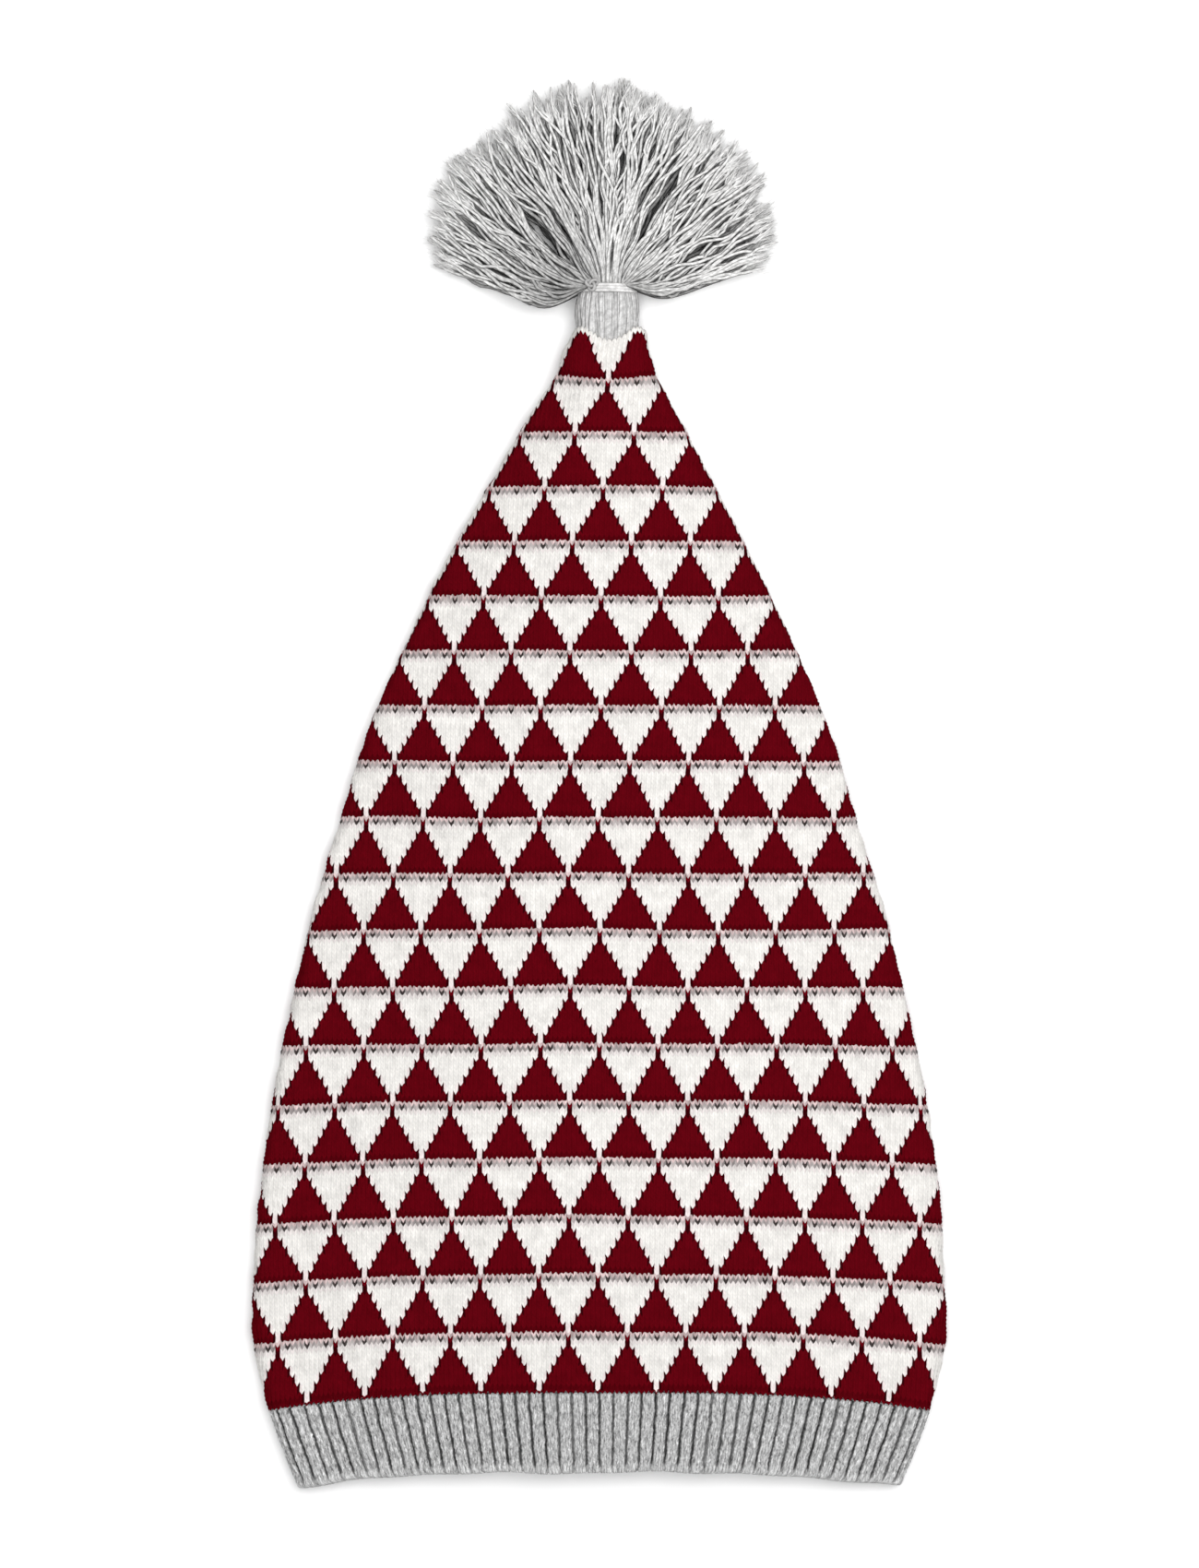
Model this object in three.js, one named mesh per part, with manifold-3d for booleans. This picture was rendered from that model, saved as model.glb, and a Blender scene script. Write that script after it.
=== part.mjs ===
// A long knitted pixie hat lying flat on its back, as it is laid down when it isn't worn.
// A hollow jacquard-knit body tapers from a ribbed band at the mouth to a narrow tip, and a yarn
// tassel is sewn into the tip and tied off above it.
// Millimetres. X runs across the hat, +Y from the mouth to the tip, +Z up from the surface it lies on.
import * as THREE from "three";
import { mergeVertices } from "three/addons/utils/BufferGeometryUtils.js";
import Module from "manifold-3d";

const wasm = await Module();
wasm.setup();

// Knit
const KNIT_WALL = 2.2;
const RIB_WALL = 2.8;
const RIB_DEPTH = 1.0;
const RIB_COUNT = 96;
// Places round one rib, in sixths of its pitch: its groove and the two edges of its crown
const RIB_STEPS = 6;
const RIB_PLACES = [
  { step: 0, isGroove: true },
  { step: 1, isGroove: false },
  { step: 5, isGroove: false },
];
const BAND_HEIGHT = 26.5;
const SEAM_GAP = 0.3;

// Course lines of the hat, from the hem to the tip.
// along: distance of the line's middle from the middle of the hem
// centre, half: middle and half width of the outline there
// crown: height of the upper layer at the middle; fold: height of the folded side edges
// sag: how far the ends of the line droop back towards the mouth
const COURSE_LINES = [
  { along: 0.0, centre: 0.0, half: 102.0, crown: 15.0, fold: 8.0, sag: 5.6 },
  { along: 26.5, centre: 0.0, half: 111.7, crown: 17.0, fold: 8.6, sag: 6.6 },
  { along: 48.0, centre: 0.0, half: 117.0, crown: 20.0, fold: 9.0, sag: 5.0 },
  { along: 73.0, centre: 0.0, half: 116.6, crown: 22.0, fold: 9.0, sag: 4.2 },
  { along: 110.0, centre: 0.0, half: 113.2, crown: 22.0, fold: 9.0, sag: 2.8 },
  { along: 148.0, centre: 0.0, half: 106.2, crown: 21.5, fold: 9.0, sag: 1.4 },
  { along: 185.0, centre: -0.3, half: 97.6, crown: 21.0, fold: 9.0, sag: 0.3 },
  { along: 216.0, centre: -0.4, half: 88.2, crown: 20.0, fold: 9.0, sag: 0.0 },
  { along: 247.0, centre: -0.2, half: 78.8, crown: 19.0, fold: 9.0, sag: 0.0 },
  { along: 278.5, centre: 0.0, half: 65.6, crown: 18.0, fold: 9.0, sag: 0.0 },
  { along: 309.5, centre: 0.2, half: 50.4, crown: 17.0, fold: 9.5, sag: 0.0 },
  { along: 334.5, centre: 0.8, half: 36.9, crown: 16.0, fold: 10.0, sag: 0.0 },
  { along: 359.5, centre: 1.6, half: 22.4, crown: 15.0, fold: 11.0, sag: -0.6 },
  { along: 371.0, centre: 2.4, half: 15.6, crown: 14.5, fold: 12.0, sag: -1.4 },
  { along: 381.0, centre: 2.6, half: 10.7, crown: 14.0, fold: 13.0, sag: -2.6 },
];
const LINE_COLUMNS = ["centre", "half", "crown", "fold", "sag"];
const SAG_POWER = 3;
// Rise of the upper layer where it leaves a side fold, as a share of its mean rise to the crown
const CROWN_SLOPE = 1.7;
// How far the ends' directions are held along the upper layer, as shares of its run
const CROWN_EASE = { fold: 0.35, crown: 0.45 };
const SECTIONS_PER_LINE = 2;

// Steps round a section: the flat underside, each quarter of a folded edge, each half of the upper layer
const UNDERSIDE_STEPS = 12;
const FOLD_STEPS = 3;
const CROWN_STEPS = 8;

// Neck of the tassel, from inside the tip to above the tie: an oval bundle of yarn
const NECK_SIDES = 20;
const NECK_MIDDLE_Z = 7.2;
const TIE_ALONG = 398.0;
const NECK_SECTIONS = [
  { along: 366.0, centre: 2.0, half: 6.6, height: 7.6 },
  { along: 381.5, centre: 2.6, half: 7.9, height: 8.6 },
  { along: 384.5, centre: 2.6, half: 8.2, height: 9.4 },
  { along: 387.5, centre: 2.6, half: 10.0, height: 12.4 },
  { along: 393.0, centre: 2.5, half: 10.1, height: 12.8 },
  { along: TIE_ALONG, centre: 2.4, half: 8.6, height: 10.8 },
  { along: 405.0, centre: 2.2, half: 10.0, height: 12.6 },
  { along: 411.0, centre: 2.2, half: 7.0, height: 10.0 },
];

// Tie wound round the neck, in the waist below the fan
const TIE_LENGTH = 3.2;
const TIE_YARN = 1.4;
const TIE_SIDES = 32;
const TIE_ROUND_STEPS = 6;

// Fan of the tassel: locks of yarn that spread from above the tie
const FAN_CENTRE = { x: 2.2, along: 405.0 };
const FAN_REACH = { left: 61.0, top: 65.0, right: 56.0 };
const FAN_EDGE_ANGLE = 8;
const FAN_DROOP = 9.0;
const LOCK_SIDES = 8;
// heights: of the middle of a tier's locks, at each point of their path
const FAN_TIERS = [
  { locks: 13, reach: 1.0, heights: [NECK_MIDDLE_Z, 6.6, 5.0, 2.3] },
  { locks: 12, reach: 0.96, heights: [NECK_MIDDLE_Z, 15.0, 12.6, 7.6] },
];
// Path of a lock, as a share of its reach, and how much of the fan's droop it takes there
const LOCK_PATH = [
  { share: 0.04, droop: 0.0 },
  { share: 0.3, droop: 0.45 },
  { share: 0.62, droop: 0.7 },
  { share: 1.0, droop: 0.0 },
];
// Sections of a lock, as a share of its length: it leaves the neck round and spreads flat
const LOCK_SECTIONS = [
  { share: 0.0, width: 4.0, height: 5.6 },
  { share: 0.26, width: 8.6, height: 9.6 },
  { share: 0.52, width: 11.0, height: 8.4 },
  { share: 0.8, width: 13.0, height: 6.6 },
  { share: 1.0, width: 10.4, height: 4.6 },
];

const MATERIALS = {
  jacquard: new THREE.MeshStandardMaterial({ color: 0x7a0f1c, roughness: 0.92, metalness: 0 }),
  rib: new THREE.MeshStandardMaterial({ color: 0xa9a9a8, roughness: 0.92, metalness: 0 }),
  yarn: new THREE.MeshStandardMaterial({ color: 0xc2c2c0, roughness: 0.9, metalness: 0 }),
  tie: new THREE.MeshStandardMaterial({ color: 0xd0d0ce, roughness: 0.9, metalness: 0 }),
};

const lineAlongs = COURSE_LINES.map((line) => line.along);
const lineCurve = new THREE.CubicInterpolant(
  new Float64Array(lineAlongs),
  new Float64Array(COURSE_LINES.flatMap((line) => LINE_COLUMNS.map((column) => line[column]))),
  LINE_COLUMNS.length,
);

// The course line at any distance along the hat, from a smooth curve through the table.
function courseLine(along) {
  const values = lineCurve.evaluate(along);
  const line = { along };
  LINE_COLUMNS.forEach((column, i) => {
    line[column] = values[i];
  });
  return line;
}

// The section of the hat's wall across a course line, inset from its outer face: a flat underside,
// round side folds and an upper layer that leaves them at a slope and rises to its crown.
function sectionCurves({ half, crown, fold }, inset) {
  const foldMiddle = fold / 2;
  const radius = foldMiddle - inset;
  const flat = half - foldMiddle;
  const lean = Math.atan2(CROWN_SLOPE * (crown - fold), flat);
  const foldEnd = Math.PI / 2 - lean;
  const shoulder = {
    x: flat + radius * Math.cos(foldEnd),
    z: foldMiddle + radius * Math.sin(foldEnd),
  };
  const ease = flat * CROWN_EASE.fold;
  const upper = [
    { x: shoulder.x, z: shoulder.z },
    { x: shoulder.x - ease, z: shoulder.z + ease * Math.tan(lean) },
    { x: flat * CROWN_EASE.crown, z: crown - inset },
    { x: 0, z: crown - inset },
  ];
  const right = upper.map(({ x, z }) => new THREE.Vector2(x, z));
  const left = upper.map(({ x, z }) => new THREE.Vector2(-x, z)).reverse();
  const underside = [new THREE.Vector2(-flat, inset), new THREE.Vector2(flat, inset)];
  const arc = (x, from, to) => new THREE.EllipseCurve(x, foldMiddle, radius, radius, from, to);
  return [
    { curve: new THREE.LineCurve(...underside), steps: UNDERSIDE_STEPS },
    { curve: arc(flat, -Math.PI / 2, foldEnd), steps: 2 * FOLD_STEPS },
    { curve: new THREE.CubicBezierCurve(...right), steps: CROWN_STEPS },
    { curve: new THREE.CubicBezierCurve(...left), steps: CROWN_STEPS },
    { curve: arc(-flat, Math.PI - foldEnd, (3 * Math.PI) / 2), steps: 2 * FOLD_STEPS },
  ];
}

// Places a point of a section on its course line, whose ends sag towards the mouth.
function onLine(line, { x, y: z }) {
  const sag = line.sag * Math.abs(x / line.half) ** SAG_POWER;
  return new THREE.Vector3(line.centre + x, line.along - sag, z);
}

function plainRing(line, inset) {
  const stretches = sectionCurves(line, inset);
  const points = stretches.flatMap(({ curve, steps }) => curve.getPoints(steps).slice(0, -1));
  return points.map((p) => onLine(line, p));
}

// A ring of ribs, whose grooves are cut inwards by a depth. The inner face of a rib knit has its own
// grooves half a rib further on.
function ribbedRing(line, inset, shift, depth) {
  const path = new THREE.CurvePath();
  sectionCurves(line, inset).forEach(({ curve }) => path.add(curve));
  const count = RIB_COUNT * RIB_STEPS;
  const spaced = path.getSpacedPoints(count).slice(0, count);
  const at = (i) => spaced[(i + count) % count];
  const ring = [];
  for (let rib = 0; rib < RIB_COUNT; rib += 1) {
    for (const { step, isGroove } of RIB_PLACES) {
      const i = rib * RIB_STEPS + step + shift;
      const tangent = at(i + 1).clone().sub(at(i - 1)).normalize();
      const inward = new THREE.Vector2(-tangent.y, tangent.x);
      const offset = isGroove ? depth : 0;
      ring.push(onLine(line, at(i).clone().addScaledVector(inward, offset)));
    }
  }
  return ring;
}

// Joins rings of equal length with triangles. A wall's last ring joins its first again, and a rod's two
// ends are capped. Seen along the rings' way, each ring runs anticlockwise.
function loft(rings, isWall) {
  const size = rings[0].length;
  const points = rings.flat();
  const index = [];
  const spans = isWall ? rings.length : rings.length - 1;
  for (let r = 0; r < spans; r += 1) {
    const here = r * size;
    const next = ((r + 1) % rings.length) * size;
    for (let i = 0; i < size; i += 1) {
      const j = (i + 1) % size;
      index.push(here + i, next + i, here + j, here + j, next + i, next + j);
    }
  }
  if (!isWall) {
    const middle = (ring) =>
      ring.reduce((sum, p) => sum.add(p), new THREE.Vector3()).divideScalar(size);
    const first = points.push(middle(rings[0])) - 1;
    const last = points.push(middle(rings.at(-1))) - 1;
    const end = (rings.length - 1) * size;
    for (let i = 0; i < size; i += 1) {
      const j = (i + 1) % size;
      index.push(first, i, j, last, end + j, end + i);
    }
  }
  const geometry = new THREE.BufferGeometry().setFromPoints(points);
  geometry.setIndex(index);
  return geometry;
}

function solidFrom(geometry) {
  const merged = mergeVertices(geometry);
  return new wasm.Manifold(
    new wasm.Mesh({
      numProp: 3,
      vertProperties: merged.attributes.position.array,
      triVerts: new Uint32Array(merged.index.array),
    }),
  );
}

function geometryFrom(solid) {
  const { vertProperties, triVerts } = solid.getMesh();
  const geometry = new THREE.BufferGeometry();
  geometry.setAttribute("position", new THREE.BufferAttribute(vertProperties, 3));
  geometry.setIndex(new THREE.BufferAttribute(triVerts, 1));
  return geometry;
}

function named(name, geometry, material) {
  geometry.computeVertexNormals();
  const mesh = new THREE.Mesh(geometry, material);
  mesh.name = name;
  return mesh;
}

// The jacquard-knit body: one hollow wall, open at the mouth and round the neck of the tassel.
function hatBody() {
  const alongs = [];
  const start = BAND_HEIGHT + SEAM_GAP / 2;
  const bodyLines = lineAlongs.filter((along) => along > start);
  let from = start;
  for (const to of bodyLines) {
    for (let s = 0; s < SECTIONS_PER_LINE; s += 1) {
      alongs.push(THREE.MathUtils.lerp(from, to, s / SECTIONS_PER_LINE));
    }
    from = to;
  }
  alongs.push(from);
  const lines = alongs.map(courseLine);
  const outer = lines.map((line) => plainRing(line, 0));
  const inner = lines.map((line) => plainRing(line, KNIT_WALL)).reverse();
  return loft([...outer, ...inner], true);
}

// The rib-knit band below it, which draws the mouth in.
function ribBand() {
  const top = BAND_HEIGHT - SEAM_GAP / 2;
  const lines = [0, top / 2, top].map(courseLine);
  const halfRib = RIB_STEPS / 2;
  const outer = lines.map((line) => ribbedRing(line, 0, 0, RIB_DEPTH));
  const inner = lines.map((line) => ribbedRing(line, RIB_WALL, halfRib, -RIB_DEPTH)).reverse();
  return loft([...outer, ...inner], true);
}

function oval({ along, centre, half, height }, sides) {
  const ring = [];
  for (let i = 0; i < sides; i += 1) {
    const angle = (2 * Math.PI * i) / sides;
    const x = centre + half * Math.cos(angle);
    const z = NECK_MIDDLE_Z + (height / 2) * Math.sin(angle);
    ring.push(new THREE.Vector3(x, along, z));
  }
  return ring;
}

// How far the fan reaches at an angle from +X, between its reach to each side and to the top.
function fanReach(angle) {
  const side = Math.cos(angle) < 0 ? FAN_REACH.left : FAN_REACH.right;
  return FAN_REACH.top * Math.sin(angle) ** 2 + side * Math.cos(angle) ** 2;
}

// One lock of yarn. It leaves the neck, swells, bows towards the mouth if it lies to the side, and
// comes down to the surface or to the tier below.
function lock(angle, tier) {
  const reach = fanReach(angle) * tier.reach;
  const out = new THREE.Vector2(Math.cos(angle), Math.sin(angle));
  const bow = FAN_DROOP * Math.abs(out.x);
  const points = LOCK_PATH.map(({ share, droop }, i) => {
    const x = FAN_CENTRE.x + out.x * reach * share;
    const along = FAN_CENTRE.along + out.y * reach * share - bow * droop;
    return new THREE.Vector3(x, along, tier.heights[i]);
  });
  const path = new THREE.CatmullRomCurve3(points);
  const up = new THREE.Vector3(0, 0, 1);
  const rings = LOCK_SECTIONS.map(({ share, width, height }) => {
    const middle = path.getPoint(share);
    const tangent = path.getTangent(share).setZ(0).normalize();
    const side = new THREE.Vector3().crossVectors(tangent, up);
    const ring = [];
    for (let i = 0; i < LOCK_SIDES; i += 1) {
      const turn = (2 * Math.PI * (i + 0.5)) / LOCK_SIDES;
      const across = side.clone().multiplyScalar((width / 2) * Math.cos(turn));
      const rise = Math.max((height / 2) * Math.sin(turn), -middle.z);
      ring.push(middle.clone().add(across).addScaledVector(up, rise));
    }
    return ring;
  });
  return loft(rings, false);
}

// The tassel: its neck and its locks, fused into one body.
function tassel() {
  let fused = solidFrom(loft(NECK_SECTIONS.map((section) => oval(section, NECK_SIDES)), false));
  const edge = THREE.MathUtils.degToRad(FAN_EDGE_ANGLE);
  for (const tier of FAN_TIERS) {
    const inset = tier === FAN_TIERS[0] ? 0 : (Math.PI - 2 * edge) / tier.locks / 2;
    const from = edge + inset;
    const to = Math.PI - edge - inset;
    for (let i = 0; i < tier.locks; i += 1) {
      const angle = THREE.MathUtils.lerp(from, to, i / (tier.locks - 1));
      fused = fused.add(solidFrom(lock(angle, tier)));
    }
  }
  return geometryFrom(fused);
}

// The tie: yarn wound into a ring that sits in the waist of the neck.
function tie() {
  const waist = NECK_SECTIONS.find(({ along }) => along === TIE_ALONG);
  const rings = [];
  for (let i = 0; i < TIE_ROUND_STEPS; i += 1) {
    const turn = (2 * Math.PI * i) / TIE_ROUND_STEPS;
    const out = SEAM_GAP + (TIE_YARN / 2) * (1 + Math.cos(turn));
    const section = {
      along: TIE_ALONG + (TIE_LENGTH / 2) * Math.sin(turn),
      centre: waist.centre,
      half: waist.half + out,
      height: waist.height + 2 * out,
    };
    rings.push(oval(section, TIE_SIDES));
  }
  return loft(rings, true);
}

const hat = new THREE.Group();
hat.add(named("hat_body", hatBody(), MATERIALS.jacquard));
hat.add(named("rib_band", ribBand(), MATERIALS.rib));
hat.add(named("tassel", tassel(), MATERIALS.yarn));
hat.add(named("tassel_tie", tie(), MATERIALS.tie));

// The frame's origin is under the middle of the hat's outline.
const middle = new THREE.Box3().setFromObject(hat).getCenter(new THREE.Vector3());
hat.position.set(-middle.x, -middle.y, 0);

const part = new THREE.Group();
part.add(hat);
export default part;
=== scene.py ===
"""A long knitted pixie hat with a yarn tassel, lying flat on a pale floor and seen from straight above."""

import math

import bpy
import numpy as np
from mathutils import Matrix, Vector


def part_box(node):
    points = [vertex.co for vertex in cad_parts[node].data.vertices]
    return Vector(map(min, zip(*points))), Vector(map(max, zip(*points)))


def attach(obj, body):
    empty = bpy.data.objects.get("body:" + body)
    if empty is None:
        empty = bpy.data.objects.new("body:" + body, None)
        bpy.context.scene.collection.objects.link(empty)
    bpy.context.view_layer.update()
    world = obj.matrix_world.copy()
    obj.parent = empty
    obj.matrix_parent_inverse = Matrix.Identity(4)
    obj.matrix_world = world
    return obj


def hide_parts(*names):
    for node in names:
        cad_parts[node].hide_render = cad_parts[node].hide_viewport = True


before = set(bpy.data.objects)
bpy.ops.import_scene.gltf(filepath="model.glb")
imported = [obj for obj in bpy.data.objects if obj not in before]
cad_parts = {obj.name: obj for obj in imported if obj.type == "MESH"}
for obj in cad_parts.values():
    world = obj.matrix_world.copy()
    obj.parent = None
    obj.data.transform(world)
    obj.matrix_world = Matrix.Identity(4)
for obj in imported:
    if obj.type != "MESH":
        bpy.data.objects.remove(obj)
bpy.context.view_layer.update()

MM = 0.001
BODY = "root"
# The knit and the yarns draw from generators of their own
KNIT_RNG = np.random.default_rng(20)
YARN_RNG = np.random.default_rng(11)

# Course lines of the hat, from the hem to the tip, in millimetres.
# along: distance from the hem, at the middle of the line
# centre, half: middle and half width of the outline there
# crown, fold: heights of the middle of the upper layer and of the side folds
# sag: how far the line's ends droop towards the mouth
LINE_COLUMNS = ("along", "centre", "half", "crown", "fold", "sag")
COURSE_LINES = np.array([
    (0.0, 0.0, 102.0, 15.0, 8.0, 5.6),
    (26.5, 0.0, 111.7, 17.0, 8.6, 6.6),
    (48.0, 0.0, 117.0, 20.0, 9.0, 5.0),
    (73.0, 0.0, 116.6, 22.0, 9.0, 4.2),
    (110.0, 0.0, 113.2, 22.0, 9.0, 2.8),
    (148.0, 0.0, 106.2, 21.5, 9.0, 1.4),
    (185.0, -0.3, 97.6, 21.0, 9.0, 0.3),
    (216.0, -0.4, 88.2, 20.0, 9.0, 0.0),
    (247.0, -0.2, 78.8, 19.0, 9.0, 0.0),
    (278.5, 0.0, 65.6, 18.0, 9.0, 0.0),
    (309.5, 0.2, 50.4, 17.0, 9.5, 0.0),
    (334.5, 0.8, 36.9, 16.0, 10.0, 0.0),
    (359.5, 1.6, 22.4, 15.0, 11.0, -0.6),
    (368.0, 2.3, 17.1, 14.6, 11.8, -1.2),
    (375.0, 2.4, 14.8, 14.3, 12.4, -1.9),
    (381.0, 3.4, 12.5, 14.0, 13.0, -2.6),
])
BAND_HEIGHT = COURSE_LINES[1, 0]
TIP_ALONG = COURSE_LINES[-1, 0]
# How fast the droop of a line grows towards its ends
SAG_POWER = 3
# The rim of the tip dips in the middle, round the neck of the tassel
TIP_DIP = 3.2
TIP_DIP_STARTS = 362.0
# Slope of the upper layer at a side fold, over its mean slope up to the crown, and how far its curve
# keeps its direction at both ends, as shares of its width
CROWN_SLOPE = 1.7
CROWN_EASE = {"fold": 0.35, "crown": 0.45}
KNIT_WALL = 2.2
RIB_WALL = 2.8

# Place of the hem's middle in the frame
band_low, band_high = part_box("rib_band")
HEM_X = (band_low.x + band_high.x) / 2
HEM_Y = band_low.y + COURSE_LINES[0][LINE_COLUMNS.index("sag")] * MM


def course_line(along):
    """The course line at any distance along the hat, from a smooth curve through the table."""
    at = COURSE_LINES[:, 0]
    i = int(np.clip(np.searchsorted(at, along) - 1, 0, len(at) - 2))
    slopes = np.diff(COURSE_LINES, axis=0) / np.diff(at)[:, None]
    tangents = np.vstack([slopes[:1], (slopes[1:] + slopes[:-1]) / 2, slopes[-1:]])
    span = at[i + 1] - at[i]
    p = (along - at[i]) / span
    start, end = COURSE_LINES[i], COURSE_LINES[i + 1]
    values = (
        (2 * p**3 - 3 * p**2 + 1) * start
        + (p**3 - 2 * p**2 + p) * span * tangents[i]
        + (3 * p**2 - 2 * p**3) * end
        + (p**3 - p**2) * span * tangents[i + 1]
    )
    return dict(zip(LINE_COLUMNS, values))


class Section:
    """Half of the hat's section at a course line, from the middle of its crown round the side fold to the
    middle of its underside."""

    CROWN_STEPS = 48
    FOLD_STEPS = 24

    def __init__(self, line, inset=0.0):
        self.line = line
        middle = line["fold"] / 2
        radius = middle - inset
        flat = line["half"] - middle
        lean = math.atan2(CROWN_SLOPE * (line["crown"] - line["fold"]), flat)
        fold_end = math.pi / 2 - lean
        shoulder = np.array((flat + radius * math.cos(fold_end), middle + radius * math.sin(fold_end)))
        ease = flat * CROWN_EASE["fold"]
        top = line["crown"] - inset
        controls = (
            (0.0, top),
            (flat * CROWN_EASE["crown"], top),
            shoulder + (-ease, ease * math.tan(lean)),
            shoulder,
        )
        t = np.linspace(0, 1, self.CROWN_STEPS + 1)[:, None]
        weights = ((1 - t) ** 3, 3 * (1 - t) ** 2 * t, 3 * (1 - t) * t**2, t**3)
        crown = sum(weight * control for weight, control in zip(weights, controls))
        turn = np.linspace(fold_end, -math.pi / 2, self.FOLD_STEPS + 1)[1:]
        fold = np.column_stack([flat + radius * np.cos(turn), middle + radius * np.sin(turn)])
        self.points = np.vstack([crown, fold, [(0.0, inset)]])
        steps = np.linalg.norm(np.diff(self.points, axis=0), axis=1)
        self.lengths = np.concatenate([[0.0], np.cumsum(steps)])
        self.total = self.lengths[-1]
        self.to_underside = self.lengths[-2]
        self.fold_length = radius * (fold_end + math.pi / 2)
        edges = np.gradient(self.points, self.lengths, axis=0)
        self.normals = np.column_stack([-edges[:, 1], edges[:, 0]])
        self.normals /= np.linalg.norm(self.normals, axis=1)[:, None]

    def place(self, s, lift, shift):
        """Points in the frame at signed distances s from the middle of the crown, lifted off the wall and
        shifted along the hat, all in millimetres."""
        curves = np.hstack([self.points, self.normals]).T
        x, z, normal_x, normal_z = (np.interp(np.abs(s), self.lengths, curve) for curve in curves)
        side = np.where(s < 0, -1.0, 1.0)
        out = np.abs(x / self.line["half"])
        near_tip = ramp(self.line["along"], TIP_DIP_STARTS, TIP_ALONG - TIP_DIP_STARTS) ** 2
        sag = self.line["sag"] * out**SAG_POWER - TIP_DIP * near_tip * np.sin(math.pi * out**2)
        across = self.line["centre"] + x * side + normal_x * side * lift
        along = self.line["along"] - sag + shift
        height = z + normal_z * lift
        return np.column_stack([HEM_X + across * MM, HEM_Y + along * MM, height * MM])


def ripple(a, b, size, wavelength, waves=7, lengths=(0.7, 1.5)):
    """A smooth random surface over two arrays of millimetres: a sum of waves, from -size to size."""
    total = np.zeros(np.broadcast(a, b).shape)
    for _ in range(waves):
        heading, phase = KNIT_RNG.uniform(0, math.tau, 2)
        length = wavelength * KNIT_RNG.uniform(*lengths)
        total += np.sin(math.tau * (a * math.cos(heading) + b * math.sin(heading)) / length + phase)
    return size * (total / waves)


def ramp(value, start, span):
    """0 up to the start, and from there up to 1 over the span."""
    return np.clip((value - start) / span, 0, 1)


def make_piece(name, points, faces, material, maps, colours=None, values=None):
    """A smooth mesh from arrays. maps: name to UV of each vertex; colours: one for each face;
    values: name to a number of each vertex. Vertices that no face uses are dropped."""
    corners = faces.shape[1]
    used, faces = np.unique(faces, return_inverse=True)
    faces = faces.reshape(-1, corners)
    mesh = bpy.data.meshes.new(name)
    mesh.vertices.add(len(used))
    mesh.vertices.foreach_set("co", points[used].astype(np.float32).ravel())
    mesh.loops.add(faces.size)
    mesh.loops.foreach_set("vertex_index", faces.astype(np.int32).ravel())
    mesh.polygons.add(len(faces))
    mesh.polygons.foreach_set("loop_start", np.arange(0, faces.size, corners, dtype=np.int32))
    mesh.update(calc_edges=True)
    mesh.shade_smooth()
    for map_name, uv in maps.items():
        layer = mesh.uv_layers.new(name=map_name)
        layer.uv.foreach_set("vector", uv[used][faces.ravel()].astype(np.float32).ravel())
    if colours is not None:
        layer = mesh.color_attributes.new("yarn", "FLOAT_COLOR", "CORNER")
        opaque = np.column_stack([colours, np.ones(len(colours))])
        layer.data.foreach_set("color", np.repeat(opaque, corners, axis=0).astype(np.float32).ravel())
    for value_name, value in (values or {}).items():
        layer = mesh.attributes.new(value_name, "FLOAT", "POINT")
        layer.data.foreach_set("value", value[used].astype(np.float32))
    mesh.materials.append(material)
    piece = bpy.data.objects.new(name, mesh)
    bpy.context.scene.collection.objects.link(piece)
    return piece


def grid_faces(rows, columns, is_ring=False):
    """Quads of a grid of vertices, row by row, with a ring's last column joined to its first."""
    spans = columns if is_ring else columns - 1
    r, c = np.meshgrid(np.arange(rows - 1), np.arange(spans), indexing="ij")
    here = r * columns + c
    beside = r * columns + (c + 1) % columns
    return np.stack([here, beside, beside + columns, here + columns], axis=-1).reshape(-1, 4)


def square_map(places, rows):
    """UV of a grid in a unit square, from the places of its columns and its number of rows."""
    return np.column_stack([np.tile(places, rows), np.repeat(np.linspace(0, 1, rows), len(places))])


def dress(piece, node):
    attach(piece, BODY)
    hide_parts(node)


# Materials

# Colours of the yarns of the knit, linear, and a darker red that is painted shade on red legs beside white
YARNS = {
    "red": (0.134, 0.0018, 0.0062),
    "painted_shade_red": (0.040, 0.0010, 0.0028),
    "white": (0.96, 0.935, 0.90),
    "edge_white": (0.96, 0.85, 0.84),
    "strip_top": (0.68, 0.53, 0.525),
    "strip": (0.44, 0.395, 0.39),
    "strip_fade": (0.86, 0.80, 0.785),
    "fleck": (0.060, 0.048, 0.047),
}
# Plied yarns: linear colours of pale and dark fibres, and light between the plies, at the sides of a
# strand and on the deepest strands
PLIED_YARNS = {
    "tassel_yarn": ((0.95, 0.945, 0.935), (0.73, 0.725, 0.715), 0.72, 0.06, 0.1),
    "neck_yarn": ((0.81, 0.805, 0.80), (0.65, 0.645, 0.64), 0.8, 0.55, 0.6),
    "tassel_fibre": ((0.92, 0.915, 0.91), (0.84, 0.835, 0.83), 1.0, 0.8, 0.7),
    "tie_yarn": ((0.86, 0.85, 0.84), (0.72, 0.715, 0.71), 0.85, 0.5, 0.4),
}
PLIES = 2.0
PLY_ROUNDNESS = 0.6
FLOOR_COLOUR = (0.96, 0.96, 0.96, 1.0)
ROUGHNESS = 0.95


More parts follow.
